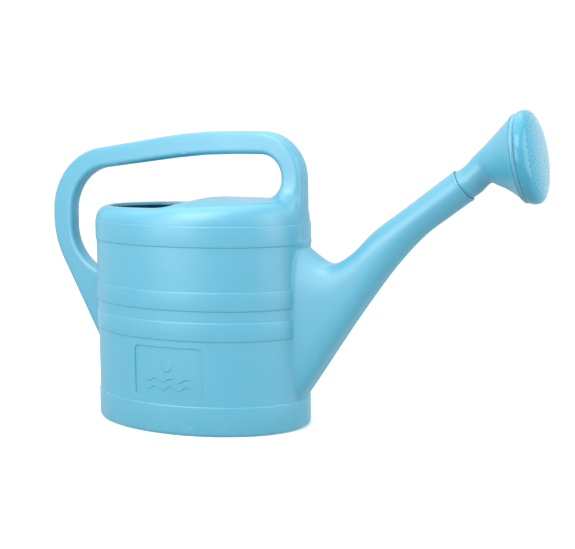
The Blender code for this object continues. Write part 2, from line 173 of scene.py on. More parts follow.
# Meshing
SKIN_STEP = 0.0026                # mesh size of the can's outside
HOLLOW_STEP = 0.0042              # and of its inside
MARGIN_CELLS = 3                  # grid cells left free round the can
SETTLE_TURNS = 5                  # times that the mesh is moved onto the surface
EVENING_TURNS = 3                 # of which so many even out its points first
EVENING_SHARE = 0.6
LONGEST_MOVE = 0.004              # in one turn
LEAST_STEEPNESS = 0.2
SETTLE_PROBE = 0.0002             # step over which the distance's slope is measured
FILLET_PROBE = 0.0005             # and the same in a fillet
MOST_OPPOSED = -0.6               # lowest cosine between two surfaces' slopes that a fillet reckons with
LEAST_FILLET = 0.001              # share of its radius that a fillet keeps where they are parallel
CHART_STEP = 0.001                # grid of the worked-out outlines
CHART_EDGE = 0.012
CHART_END = 1.001                 # cells kept back at the grid's far end
BATCH = 20000                     # points worked out at once
TANK_CORE = 0.5                   # share of a section inside which a rough distance will do
SPOUT_CORE = 0.4
ON_PLANE = 1e-6                   # how near the middle plane counts as on it
SHARP_ANGLE = math.radians(32)    # an edge that turns more than this is shaded as an edge
TINY = 1e-9

TIP_AXIS = Vector((math.cos(SPOUT_TIP_ANGLE), 0.0, math.sin(SPOUT_TIP_ANGLE)))
TIP_UP = Vector((-math.sin(SPOUT_TIP_ANGLE), 0.0, math.cos(SPOUT_TIP_ANGLE)))
FACE_AXIS = Vector((math.cos(FACE_TILT), 0.0, math.sin(FACE_TILT)))

# The handle's outline in the middle plane: corners (x, z, radius), anticlockwise
HANDLE_CORNERS = [
    (-0.1152, 0.0370, 0), (-0.1080, 0.1680, 0), (-0.1780, 0.1615, 0.058), (-0.1777, 0.2900, 0.055),
    (0.0070, 0.3139, 0.600), (0.1062, 0.3139, 0.026), (0.1062, 0.2180, 0), (0.1330, 0.2180, 0),
    (0.1305, 0.3400, 0.054), (-0.0050, 0.3400, 0.600), (-0.2070, 0.3094, 0.079), (-0.2070, 0.2070, 0.110),
]
OUTER_START = 7                   # the first corner on the loop's outer side

# The spout: top and bottom points of each station, half width and squareness, tank to tip.
# An ellipse's squareness is 2.  The web, at the tank's end, is a little squarer than in the CAD.
SPOUT_STATIONS = [
    ((0.1120, 0.2290), (0.1120, 0.0080), 0.0255, 4.2),
    ((0.1400, 0.2046), (0.1387, 0.0455), 0.0252, 4.0),
    ((0.1650, 0.1922), (0.1770, 0.1032), 0.0246, 3.6),
    ((0.1905, 0.2048), (0.2054, 0.1444), 0.0233, 3.0),
    ((0.2170, 0.2315), (0.2410, 0.1920), 0.0212, 2.4),
    ((0.2530, 0.2585), (0.2735, 0.2275), 0.0190, 2.1),
    ((0.2825, 0.2810), (0.3036, 0.2509), SPOUT_TIP_RADIUS, 2.0),
]


# Outlines

def corner_path(corners, step=math.radians(4)):
    """Points of a closed path through corners (u, v, radius), each rounded by its radius."""
    points = []
    count = len(corners)
    for index, (u, v, radius) in enumerate(corners):
        corner = Vector((u, v))
        if radius == 0:
            points.append(corner)
            continue
        before = (Vector(corners[index - 1][:2]) - corner).normalized()
        after = (Vector(corners[(index + 1) % count][:2]) - corner).normalized()
        turn = math.pi - before.angle(after)
        centre = corner + (before + after).normalized() * radius / math.cos(turn / 2)
        start = corner + before * radius * math.tan(turn / 2) - centre
        side = 1 if before.x * after.y - before.y * after.x < 0 else -1
        pieces = max(1, round(turn / step))
        for k in range(pieces + 1):
            points.append(centre + Matrix.Rotation(side * turn * k / pieces, 2) @ start)
    return points


def hole_path(grown):
    """The filling hole's D, its flat side to the front, grown outwards."""
    front, rear, half = HOLE_FRONT + grown, HOLE_REAR - grown, HOLE_HALF_WIDTH + grown
    small, large = HOLE_FRONT_RADIUS + grown, HOLE_REAR_RADIUS + grown
    corners = [(front, -half, small), (front, half, small), (rear, half, large), (rear, -half, large)]
    return corner_path(corners)


def smooth(values, t):
    """Catmull-Rom curve through a list of numbers or vectors, t counted in list steps."""
    k = min(int(t), len(values) - 2)
    f = t - k
    a = values[max(k - 1, 0)]
    b, c = values[k], values[k + 1]
    d = values[min(k + 2, len(values) - 1)]
    square, cube = 2 * a - 5 * b + 4 * c - d, 3 * b - a - 3 * c + d
    return 0.5 * (2 * b + (c - a) * f + square * f * f + cube * f ** 3)


# Distance fields: arrays of x, y and z in, distance outside the surface out

def ellipse_distance(x, y, half_length, half_width):
    """First-order distance to an upright elliptical cylinder."""
    g = np.hypot(x / half_length, y / half_width)
    slope = np.hypot(x / half_length ** 2, y / half_width ** 2)
    near = (g - 1) * g / np.maximum(slope, TINY)
    return np.where(g > TANK_CORE, near, (g - 1) * np.minimum(half_length, half_width))


def rounded_edge(a, b, reach_a, reach_b):
    """What lies inside both a and b, with an elliptical round along their edge."""
    u = np.maximum(a / reach_a + 1, 0)
    v = np.maximum(b / reach_b + 1, 0)
    g = np.hypot(u, v)
    slope = np.hypot(u / reach_a, v / reach_b)
    return np.where((u > 0) & (v > 0), (g - 1) * g / np.maximum(slope, TINY), np.maximum(a, b))


def filleted(first, second, radius, x, y, z):
    """What lies inside either shape, with a round fillet that fades out where the two run parallel."""
    a, b = first(x, y, z), second(x, y, z)
    alike = 0.0
    lengths = [0.0, 0.0]
    for step in np.eye(3) * FILLET_PROBE:
        there = (x + step[0], y + step[1], z + step[2])
        da, db = first(*there) - a, second(*there) - b
        alike = alike + da * db
        lengths = [lengths[0] + da * da, lengths[1] + db * db]
    alike = alike / np.sqrt(np.maximum(lengths[0] * lengths[1], TINY ** 2))
    half_turn = np.sqrt((1 + np.clip(alike, MOST_OPPOSED, 1)) / 2)
    radius = radius * np.clip((1 / half_turn - 1) / (math.sqrt(2) - 1), LEAST_FILLET, 1)
    bite = np.hypot(np.maximum(radius - a, 0), np.maximum(radius - b, 0))
    return np.maximum(radius, np.minimum(a, b)) - bite


def deck_height(x, y):
    """The deck is level round the filling hole, and rises to a crowned front half."""
    t = np.clip((x - RAMP_FOOT) / (RAMP_HEAD - RAMP_FOOT), 0, 1)
    crown = DECK_FRONT - DECK_REAR - CROWN_DROP * (2 * y / TANK_WIDTH) ** 2
    return DECK_REAR + crown * t * t * (3 - 2 * t)


def end_inset(z):
    """How much further in the two ends are at the base's rounded edge."""
    return BASE_END_INSET * (1 - np.sqrt(1 - np.clip(1 - z / BASE_RADIUS, 0, 1) ** 2))


def tank_distance(x, y, z):
    """The tank's wall behind its bands, with its deck and the round edges above and below."""
    out = DRAFT * z - BAND_PROUD
    wall = ellipse_distance(x + LEAN * z, y, TANK_LENGTH / 2 + out - end_inset(z), TANK_WIDTH / 2 + out)
    deck = deck_height(x, y)
    top = rounded_edge(wall, z - deck, SHOULDER, np.maximum(deck - COLLAR[1], SHOULDER))
    return rounded_edge(top, BASE_GROOVE - z, BASE_RADIUS, BASE_RADIUS)


def outline_distance(x, z, path):
    """Signed distance to a closed polygon in the x-z plane."""
    x, z = np.broadcast_arrays(x, z)
    points = np.stack((x.ravel(), z.ravel()), axis=1)
    start = np.array(path)
    edge = np.roll(start, -1, axis=0) - start
    result = np.empty(len(points))
    for low in range(0, len(points), BATCH):
        away = points[low:low + BATCH, None, :] - start[None]
        along = np.clip((away * edge).sum(2) / (edge ** 2).sum(1), 0, 1)
        nearest = ((away - along[..., None] * edge) ** 2).sum(2).min(1)
        above = away[..., 1] >= 0
        above_next = away[..., 1] - edge[None, :, 1] >= 0
        left = edge[:, 0] * away[..., 1] - edge[:, 1] * away[..., 0] > 0
        crossings = (above & ~above_next & ~left) | (~above & above_next & left)
        inside = crossings.sum(1) % 2 == 1
        result[low:low + BATCH] = np.sqrt(nearest) * np.where(inside, -1, 1)
    return result.reshape(x.shape)


class Chart:
    """Values worked out once on a fine grid of the middle plane, and read between its points."""

    def __init__(self, work_out):
        low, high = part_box("can_body")
        self.low = np.array((low[0], low[2])) - CHART_EDGE
        x = np.arange(self.low[0], high[0] + CHART_EDGE, CHART_STEP)
        z = np.arange(self.low[1], high[2] + CHART_EDGE, CHART_STEP)
        self.values = np.array(work_out(x[:, None], z[None, :]))

    def read(self, x, z):
        rows, columns = self.values.shape[1:]
        u = np.clip((x - self.low[0]) / CHART_STEP, 0, rows - CHART_END)
        v = np.clip((z - self.low[1]) / CHART_STEP, 0, columns - CHART_END)
        u, v = np.broadcast_arrays(u, v)
        i, j = u.astype(int), v.astype(int)
        u, v = u - i, v - j
        near = self.values[:, i, j] * (1 - v) + self.values[:, i, j + 1] * v
        far = self.values[:, i + 1, j] * (1 - v) + self.values[:, i + 1, j + 1] * v
        return near * (1 - u) + far * u


HANDLE_FRONT = max(corner[0] for corner in HANDLE_CORNERS)
HANDLE_REAR = min(corner[0] for corner in HANDLE_CORNERS)
HANDLE_PATH = corner_path(HANDLE_CORNERS, math.radians(3))
OUTER_PATH = corner_path(HANDLE_CORNERS[OUTER_START:] + HANDLE_CORNERS[:1], math.radians(3))
HANDLE_CHART = Chart(lambda x, z: [outline_distance(x, z, path) for path in (HANDLE_PATH, OUTER_PATH)])


def handle_distance(x, y, z):
    """A loop with flat sides that draw in to the rear, and long edges that are rounder on its outer side."""
    side, outer = HANDLE_CHART.read(x, z)
    share = np.clip(1 + outer / (2 * HANDLE_EDGE), 0, 1)
    reach = HANDLE_INNER_EDGE + (HANDLE_EDGE - HANDLE_INNER_EDGE) * share
    share = np.clip((HANDLE_FRONT - x) / (HANDLE_FRONT - HANDLE_REAR), 0, 1)
    return rounded_edge(side, np.abs(y) - HANDLE_WIDTH / 2 + HANDLE_TAPER * share, reach, HANDLE_SIDE_EDGE)


def spout_stations(steps_each=24):
    """Centre, up direction, half height, half width and squareness at close steps along the spout."""
    end = SPOUT_TIP - TIP_AXIS * SPOUT_LIP_LENGTH / 3
    top, bottom = end + TIP_UP * SPOUT_TIP_RADIUS, end - TIP_UP * SPOUT_TIP_RADIUS
    stations = SPOUT_STATIONS + [((top.x, top.z), (bottom.x, bottom.z), SPOUT_TIP_RADIUS, 2.0)]
    rows = np.array([(*high, *low, half, power) for high, low, half, power in stations])
    count = (len(rows) - 1) * steps_each
    rows = np.array([smooth(rows, n / steps_each) for n in range(count + 1)])
    high, low = rows[:, 0:2], rows[:, 2:4]
    span = np.linalg.norm(high - low, axis=1)
    return (high + low) / 2, (high - low) / span[:, None], span / 2, rows[:, 4], rows[:, 5]


STATIONS = spout_stations()


def spout_place(x, z):
    """For points of the middle plane: how far across the spout they are, the spout's sizes there, how far
    they are past its ends, and whether they are beside it at all.
    """
    centre, up, half_height, half_width, power = STATIONS
    x, z = np.broadcast_arrays(x, z)
    flat_x, flat_z = x.ravel(), z.ravel()
    result = np.empty((6, flat_x.size))
    for low in range(0, flat_x.size, BATCH):
        dx = flat_x[low:low + BATCH, None] - centre[:, 0]
        dz = flat_z[low:low + BATCH, None] - centre[:, 1]
        ahead = dx * up[:, 1] - dz * up[:, 0]
        across = (dx * up[:, 0] + dz * up[:, 1]) / half_height
        passed = (ahead[:, :-1] >= 0) & (ahead[:, 1:] < 0)
        pick = np.where(passed, np.abs(across[:, :-1]), np.inf).argmin(1)
        row = np.arange(len(pick))
        found = passed[row, pick]
        first = np.abs(ahead[:, 0]) < np.abs(ahead[:, -1])
        pick = np.where(found, pick, np.where(first, 0, len(centre) - 2))
        gap = ahead[row, pick] - ahead[row, pick + 1]
        part = np.clip(ahead[row, pick] / np.maximum(gap, TINY), 0, 1)
        mix = [s[pick] * (1 - part) + s[pick + 1] * part for s in (half_height, half_width, power)]
        along = across[row, pick] * (1 - part) + across[row, pick + 1] * part
        beyond = np.maximum(-ahead[:, 0], ahead[:, -1])
        result[:, low:low + BATCH] = (along, *mix, beyond, found)
    return [values.reshape(x.shape) for values in result]


SPOUT_CHART = Chart(spout_place)


def spout_distance(x, y, z):
    """Superellipse sections along the spout, cut off at its two ends."""
    along, half_height, half_width, power, beyond, found = SPOUT_CHART.read(x, z)
    v = np.abs(along) + TINY
    w = np.abs(y) / half_width + TINY
    g = (v ** power + w ** power) ** (1 / power)
    slope = g ** (1 - power) * np.hypot(v ** (power - 1) / half_height, w ** (power - 1) / half_width)
    side = np.where(g > SPOUT_CORE, (g - 1) / np.maximum(slope, TINY), (g - 1) * half_width)
    return np.where(found > 0.5, side, np.maximum(side, beyond))


def body_distance(x, y, z):
    """The tank and the handle."""
    radius = np.where(x > 0, COLUMN_FILLET, WEB_FILLET)
    return filleted(tank_distance, handle_distance, radius, x, y, z)


def can_distance(x, y, z):
    """The whole can: tank, handle and spout."""
    return filleted(body_distance, spout_distance, SPOUT_FILLET, x, y, z)


# Meshing

def settle(points, depth, edges):
    """Evens out the mesh and puts every point exactly on the surface, depth inside the can's outside."""
    for turn in range(SETTLE_TURNS):
        if turn < EVENING_TURNS:
            total = np.zeros_like(points)
            count = np.zeros(len(points))
            for a, b in ((0, 1), (1, 0)):
                np.add.at(total, edges[:, a], points[edges[:, b]])
                np.add.at(count, edges[:, a], 1)
            points = points * (1 - EVENING_SHARE) + total / count[:, None] * EVENING_SHARE
        here = can_distance(*points.T) + depth
        there = [can_distance(*(points + SETTLE_PROBE * step).T) + depth for step in np.eye(3)]
        slope = (np.stack(there, axis=1) - here[:, None]) / SETTLE_PROBE
        steepness = np.maximum((slope ** 2).sum(1), LEAST_STEEPNESS)
        points = points - slope * (np.clip(here, -LONGEST_MOVE, LONGEST_MOVE) / steepness)[:, None]
    return points


def skin_mesh(name, spacing, depth):
    """The surface that lies depth inside the can's outside, as a closed mesh of small quads."""
    low, high = (np.array(corner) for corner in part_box("can_body"))
    low = low - MARGIN_CELLS * spacing
    counts = np.ceil((high - low) / spacing).astype(int) + MARGIN_CELLS + 1
    counts[1] += counts[1] % 2
    low[1] = -spacing * (counts[1] - 1) / 2
    x, y, z = (low[k] + spacing * np.arange(counts[k]) for k in range(3))
    near_half = y[:counts[1] // 2]
    field = can_distance(x[:, None, None], near_half[None, :, None], z[None, None, :]) + depth
    field = np.concatenate((field, field[:, ::-1]), axis=1)
    grid = openvdb.FloatGrid(1.0)
    grid.copyFromArray((field / spacing).astype(np.float32))
    points, quads = grid.convertToQuads(0.0)
    points = low + points.astype(float) * spacing
    quads = np.array(quads, dtype=np.int64)
    sides = np.concatenate([quads[:, [k, (k + 1) % 4]] for k in range(4)])
    points = settle(points, depth, np.unique(np.sort(sides, axis=1), axis=0))
    mesh = bpy.data.meshes.new(name)
    mesh.from_pydata(points.tolist(), [], quads.tolist())
    work = bmesh.new()
    work.from_mesh(mesh)
    bmesh.ops.recalc_face_normals(work, faces=work.faces)
    work.to_mesh(mesh)
    work.free()
    return add_object(name, mesh)


def add_object(name, mesh):
    made = bpy.data.objects.new(name, mesh)
    bpy.context.scene.collection.objects.link(made)
    return made


def loft(name, rings, closed=False):
    """Skin over rings of points; its ends are capped, or meet when closed."""
    work = bmesh.new()
    rows = [[work.verts.new(point) for point in ring] for ring in rings]
    size = len(rows[0])
    pairs = list(zip(rows, rows[1:]))
    if closed:
        pairs.append((rows[-1], rows[0]))
    else:
        work.faces.new(rows[0])
        work.faces.new(reversed(rows[-1]))
    for row, following in pairs:
        for k in range(size):
            step = (k + 1) % size
            work.faces.new((row[k], row[step], following[step], following[k]))
    bmesh.ops.recalc_face_normals(work, faces=work.faces)
    mesh = bpy.data.meshes.new(name)
    work.to_mesh(mesh)
    work.free()
    return add_object(name, mesh)


def carve(target, tools, operation):
    """Joins the tools to the target, or cuts them out of it, and throws them away."""
    for tool in tools:
        modifier = target.modifiers.new(tool.name, 'BOOLEAN')
        modifier.operation = operation
        modifier.solver = 'MANIFOLD'
        modifier.object = tool
    bpy.context.view_layer.update()
    shape = bpy.data.meshes.new_from_object(target.evaluated_get(bpy.context.evaluated_depsgraph_get()))
    target.modifiers.clear()
    target.data = shape
    for tool in tools:
        bpy.data.objects.remove(tool)


# Details of the tank's wall

def on_wall(angle, depth, height):
    """A point of the tank's ellipse, moved in by depth from the face of its bands."""
    out = DRAFT * height - depth
    across = (TANK_LENGTH / 2 + out - float(end_inset(height))) * math.cos(angle)
    return Vector((across - LEAN * height, (TANK_WIDTH / 2 + out) * math.sin(angle), height))


def round_share(count=CORNER_STEPS):
    """Shares of a rounded corner's radius, from its start to its end, at even turns."""
    return [1 - math.cos(math.pi / 2 * k / count) for k in range(count + 1)]


def band_edge(count=5):
    """Depth and height, back from the wall to a band's face, of its rounded edge."""
    turns = [math.pi / 2 * k / count for k in range(count + 1)]
    return [(BAND_PROUD * (1 - math.sin(a)), BAND_EDGE * (1 - math.cos(a))) for a in turns]


def band_section(low, high, angle):
    """A band's outline across, with its two outer edges rounded."""
    depths = [(BAND_ROOT, low)] + [(depth, low + rise) for depth, rise in band_edge()]
    depths += [(depth, high - rise) for depth, rise in reversed(band_edge())] + [(BAND_ROOT, high)]
    return [on_wall(angle, depth, height) for depth, height in depths]


def full_band(name, low, high, steps=256):
    """A band that runs all the way round the tank."""
    return loft(name, [band_section(low, high, 2 * math.pi * k / steps) for k in range(steps)], closed=True)


def broken_band(name, low, high, steps=240):
    """A band round the tank that stops on each side of the spout, its ends' corners rounded."""
    reach = BAND_CORNER / (TANK_WIDTH / 2)
    spread = 2 * math.pi - 2 * BAND_STOP
    ends = [reach * share for share in round_share()]
    turns = ends + [reach + (spread - 2 * reach) * k / steps for k in range(1, steps)]
    turns += [spread - turn for turn in reversed(ends)]
    rings = []
    for turn in turns:
        inward = max(0.0, 1 - min(turn, spread - turn) / reach)
        bite = BAND_CORNER * (1 - math.sqrt(1 - inward ** 2))
        rings.append(band_section(low + bite, high - bite, BAND_STOP + turn))
    return loft(name, rings)


def foot_ring(steps=256, edge_steps=6):
    """The base band: it turns under the tank with a round edge and carries the can's weight."""
    turns = [math.pi / 2 * n / edge_steps for n in range(edge_steps + 1)]
    profile = [(BASE_RADIUS * (1 - math.sin(a)), BASE_RADIUS * (1 - math.cos(a))) for a in turns]
    profile += [(depth, BASE_BAND_TOP - rise) for depth, rise in reversed(band_edge())]
    profile += [(BAND_ROOT, BASE_BAND_TOP), (FOOT_WIDTH, BAND_ROOT), (FOOT_WIDTH, FOOT_EDGE),
                (FOOT_WIDTH - FOOT_BEVEL, 0.0)]
    angles = [2 * math.pi * k / steps for k in range(steps)]
    rings = [[on_wall(angle, depth, height) for depth, height in profile] for angle in angles]
    return loft("foot_ring", rings, closed=True)


def base_pad(steps=128):
    """The raised middle of the base, inside the groove."""
    angles = [2 * math.pi * k / steps for k in range(steps)]
    levels = [(PAD_INSET, PAD_TOP), (PAD_INSET, FOOT_EDGE), (PAD_INSET + FOOT_EDGE, 0.0)]
    return loft("base_pad", [[on_wall(a, depth, height) for a in angles] for depth, height in levels])


def near_side(x):
    """The angle of the wall's near side at x."""
    return -math.acos(x / (TANK_LENGTH / 2))


def label_panel(steps=40):
    """The shallow panel's cutter: its floor follows the wall and its corners are round."""
    x_low, x_high, z_low, z_high = PANEL
    length = x_high - x_low
    ends = [PANEL_CORNER * share for share in round_share()]
    places = ends + [PANEL_CORNER + (length - 2 * PANEL_CORNER) * k / steps for k in range(1, steps)]
    places += [length - end for end in reversed(ends)]
    floor = BAND_PROUD + PANEL_DEPTH
    flare = 3 * PANEL_SLOPE
    most = PANEL_CORNER * 0.98    # so that the first and last ring keep some height
    rings = []
    for place in places:
        inward = max(0.0, 1 - min(place, length - place) / PANEL_CORNER)
        bite = min(PANEL_CORNER * (1 - math.sqrt(1 - inward ** 2)), most)
        low, high = z_low + bite, z_high - bite
        angle = near_side(x_low + place)
        outline = [(floor, low + PANEL_SLOPE), (floor, high - PANEL_SLOPE), (BAND_PROUD, high),
                   (-PANEL_CUT, high + flare), (-PANEL_CUT, low - flare), (BAND_PROUD, low)]
        rings.append([on_wall(angle, depth, height) for depth, height in outline])
    return loft("label_panel", rings)


def wave(name, level, count=3, steps=96):
    """A raised wavy line in the panel, narrower at its top and at its two ends."""
    middle = (PANEL[0] + PANEL[1]) / 2
    floor = BAND_PROUD + PANEL_DEPTH
    bluntness, least, top_share = 8, 0.02, 0.6
    rings = []
    for k in range(steps + 1):
        t = 2 * k / steps - 1
        height = level + WAVE_SWING * math.sin(math.pi * count * t)
        half = WAVE_THICKNESS / 2 * math.sqrt(max(least, 1 - t ** bluntness))
        top = half * top_share
        angle = near_side(middle + WAVE_LENGTH * t)
        outline = [(floor + MOTIF_ROOT, -half), (floor, -half), (floor - MOTIF_HEIGHT, -top),
                   (floor - MOTIF_HEIGHT, top), (floor, half), (floor + MOTIF_ROOT, half)]
        rings.append([on_wall(angle, depth, height + offset) for depth, offset in outline])
    return loft(name, rings)


def drop(name, x, level, radius, steps=48):
    """A raised water drop in the panel: a teardrop curve, pointed at its top end."""
    floor = BAND_PROUD + PANEL_DEPTH
    pointedness, tallness, top_share = 1.3, 1.35, 0.88
    rings = []
    for depth, scale in ((floor + MOTIF_ROOT, 1.0), (floor, 1.0), (floor - MOTIF_HEIGHT, top_share)):
        ring = []
        for k in range(steps):
            turn = 2 * math.pi * k / steps
            across = radius * scale * math.sin(turn) * math.sin(turn / 2) ** pointedness
            rise = radius * scale * tallness * math.cos(turn)
            ring.append(on_wall(near_side(x + across), depth, level + rise))
        rings.append(ring)
    return loft(name, rings)


def filling_cutter(edge_steps=5):
    """Cuts the filling hole, and rounds its edge."""
    turns = [math.pi / 2 * k / edge_steps for k in range(edge_steps + 1)]
    flared = HOLE_EDGE * 1.4
    levels = [(0.0, -CUTTER_REACH)]
    levels += [(HOLE_EDGE * (1 - math.cos(a)), HOLE_EDGE * (math.sin(a) - 1)) for a in turns]
    levels += [(flared, HOLE_EDGE * 0.2), (flared, CUTTER_REACH)]
    rings = []
    for grown, rise in levels:
        path = hole_path(grown)
        rings.append([Vector((p.x, p.y, float(deck_height(p.x, p.y)) + rise)) for p in path])
    return loft("filling_cutter", rings)


def lip_block():
    """What the hollow leaves standing round the filling hole: its turned-down lip."""
    path = hole_path(WALL)
    low, high = DECK_REAR - LIP_DEPTH, DECK_FRONT
    return loft("lip_block", [[Vector((p.x, p.y, height)) for p in path] for height in (low, high)])


def tip_ring(along, radius, count=96):
    """A ring about the spout's axis at its tip."""
    centre = SPOUT_TIP + TIP_AXIS * along
    turns = [2 * math.pi * k / count for k in range(count)]
    return [centre + TIP_UP * radius * math.sin(a) + Vector((0.0, radius * math.cos(a), 0.0)) for a in turns]


def spout_bead():
    """The rounded bead round the spout's mouth."""
    edge = SMALL_EDGE
    inner = NECK_RADIUS + GAP + BEAD_SLACK
    root = SPOUT_TIP_RADIUS - BEAD_ROOT
    profile = [(-SPOUT_LIP_LENGTH, inner), (-SPOUT_LIP_LENGTH, root),
               (-SPOUT_LIP_LENGTH + edge * 0.4, SPOUT_LIP_RADIUS - edge * 0.4),
               (-SPOUT_LIP_LENGTH + edge, SPOUT_LIP_RADIUS), (-edge, SPOUT_LIP_RADIUS),
               (-edge * 0.3, SPOUT_LIP_RADIUS - edge * 0.3), (0.0, SPOUT_LIP_RADIUS - edge), (0.0, inner)]
    return loft("spout_bead", [tip_ring(along, radius) for along, radius in profile], closed=True)


def spout_bore():
    """Cuts the mouth, from a little behind the neck's end to past the bead."""
    bore = NECK_RADIUS + GAP
    return loft("spout_bore", [tip_ring(-NECK_DEPTH - BORE_BEHIND, bore), tip_ring(BORE_AHEAD, bore)])


def add_parting_line(target):
    """The thin ridge that the two halves of the mould leave along y = 0."""
    work = bmesh.new()
    work.from_mesh(target.data)
    for y in (-PARTING_WIDTH, 0.0, PARTING_WIDTH):
        everything = work.verts[:] + work.edges[:] + work.faces[:]
        bmesh.ops.bisect_plane(
            work, geom=everything, dist=ON_PLANE, plane_co=(0.0, y, 0.0), plane_no=(0.0, 1.0, 0.0))
    work.normal_update()
    ridge = [vert for vert in work.verts if abs(vert.co.y) < 2 * ON_PLANE]
    places = np.array([vert.co for vert in ridge])
    outside = can_distance(*places.T) > -WALL / 2
    moves = [vert.normal * PARTING_HEIGHT for vert in ridge]
    rear, top = cad_bounds[0][0], cad_bounds[1][2]
    for vert, move, raised in zip(ridge, moves, outside):
        if raised and vert.co.z > BASE_RADIUS:
            vert.co += move
            vert.co.x = max(vert.co.x, rear)
            vert.co.z = min(vert.co.z, top)
    work.to_mesh(target.data)
    work.free()


def finish_surface(piece, material, body):
    """Gives a piece its material and smooth shading, and the body that it rides on."""
    mesh = piece.data
    mesh.materials.clear()
    mesh.materials.append(material)
    mesh.shade_smooth()
    mesh.set_sharp_from_angle(angle=SHARP_ANGLE)
    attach(piece, body)


def build_can(material):
    """The skin with its bands, panel and motif, hollowed out, with its hole, mouth and parting line."""
    skin = skin_mesh("can_skin", SKIN_STEP, 0.0)
    bands = [foot_ring(), base_pad(), full_band("collar", *COLLAR)]
    bands += [broken_band("upper_band", *UPPER_BAND), broken_band("lower_band", *LOWER_BAND), spout_bead()]
    carve(skin, bands, 'UNION')
    carve(skin, [label_panel()], 'DIFFERENCE')
    high_wave, low_wave = WAVE_LEVELS
    carve(skin, [drop("drop", *DROP), wave("wave_high", high_wave), wave("wave_low", low_wave)], 'UNION')
    hollow = skin_mesh("hollow", HOLLOW_STEP, WALL)
    carve(hollow, [lip_block()], 'DIFFERENCE')
    carve(skin, [hollow, filling_cutter(), spout_bore()], 'DIFFERENCE')
    add_parting_line(skin)
    finish_surface(skin, material, "can")
    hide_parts("can_body")


# The rose

def rose_ring(centre, tilt, radius, stretch=1.0, count=128):
    """A ring whose axis leans up by tilt."""
    up = Vector((-math.sin(tilt), 0.0, math.cos(tilt)))
    turns = [2 * math.pi * k / count for k in range(count)]
    across = [Vector((0.0, radius * math.cos(a), 0.0)) for a in turns]
    return [centre + up * radius * stretch * math.sin(a) + side for a, side in zip(turns, across)]


def cone_rings(thinner, end_radius, end_centre, count=5):
    """Rings from the bend to the wide end, over which the axis turns level with the face."""
    rings = []
    for k in range(count + 1):
        t = k / count
        flare = t * (CONE_FLARE + (1 - CONE_FLARE) * t)
        centre = BEND.lerp(end_centre, t)
        tilt = BEND_TILT + (FACE_TILT - BEND_TILT) * t
        radius = (NECK_RADIUS - thinner) * (1 - flare) + end_radius * flare
        rings.append(rose_ring(centre, tilt, radius, 1 + CONE_STRETCH * (1 - t)))
    return rings


def refined(rings, steps_each=4):
    """The same rings with smooth ones between them."""
    count = (len(rings) - 1) * steps_each
    columns = list(zip(*rings))
    return [[smooth(column, n / steps_each) for column in columns] for n in range(count + 1)]


def build_funnel(material):
    """Neck, bend and cone as one closed skin: up its outside, round the rim, and back down its inside."""
    cone_end = FLANGE_CENTRE - FACE_AXIS * SKIRT_DEPTH
    neck_end = SPOUT_TIP - TIP_AXIS * NECK_DEPTH
    neck_front = SPOUT_TIP + TIP_AXIS * NECK_FRONT
    neck_inner = NECK_RADIUS - WALL
    edge = SMALL_EDGE
    outside = [rose_ring(neck_end, SPOUT_TIP_ANGLE, NECK_RADIUS - edge),
               rose_ring(neck_end + TIP_AXIS * NECK_TAPER, SPOUT_TIP_ANGLE, NECK_RADIUS)]
    neck = [rose_ring(SPOUT_TIP + TIP_AXIS * NECK_START, SPOUT_TIP_ANGLE, NECK_RADIUS),
            rose_ring(neck_front, SPOUT_TIP_ANGLE, NECK_RADIUS)]
    outside += refined(neck + cone_rings(0.0, FLANGE_RADIUS - SKIRT_STEP, cone_end))
    groove = FLANGE_RADIUS - SKIRT_STEP - edge
    rim = [(edge * 0.2 - SKIRT_DEPTH, groove), (edge - SKIRT_DEPTH, groove),
           (edge * 1.2 - SKIRT_DEPTH, FLANGE_RADIUS - edge * 0.4),
           (edge * 1.8 - SKIRT_DEPTH, FLANGE_RADIUS), (-edge, FLANGE_RADIUS),
           (-edge * 0.3, FLANGE_RADIUS - edge * 0.3), (0.0, FLANGE_RADIUS - edge),
           (0.0, SNAP_RING_RADIUS), (SNAP_RING_DEPTH - edge, SNAP_RING_RADIUS),
           (SNAP_RING_DEPTH, SNAP_RING_RADIUS - edge), (SNAP_RING_DEPTH, SNAP_RING_RADIUS - WALL)]
    outside += [rose_ring(FLANGE_CENTRE + FACE_AXIS * along, FACE_TILT, radius) for along, radius in rim]
    inside = cone_rings(WALL, SNAP_RING_RADIUS - WALL, cone_end + FACE_AXIS * WALL)
    inside = refined([rose_ring(neck_front, SPOUT_TIP_ANGLE, neck_inner)] + inside)
    inside = list(reversed(inside)) + [rose_ring(neck_end, SPOUT_TIP_ANGLE, neck_inner)]
    funnel = loft("rose_cone", outside + inside, closed=True)
    finish_surface(funnel, material, "rose")
    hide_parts("rose_funnel")


def dome(radius, height, step):
    """(height, radius) on the dome's curve, from its widest place to its middle."""
    angle = math.pi / 2 * step / DOME_STEPS
    rise = height * math.sin(angle) ** (2 / DOME_EXPONENT)
    return CAP_SIDE + rise, radius * math.cos(angle) ** (2 / DOME_EXPONENT)


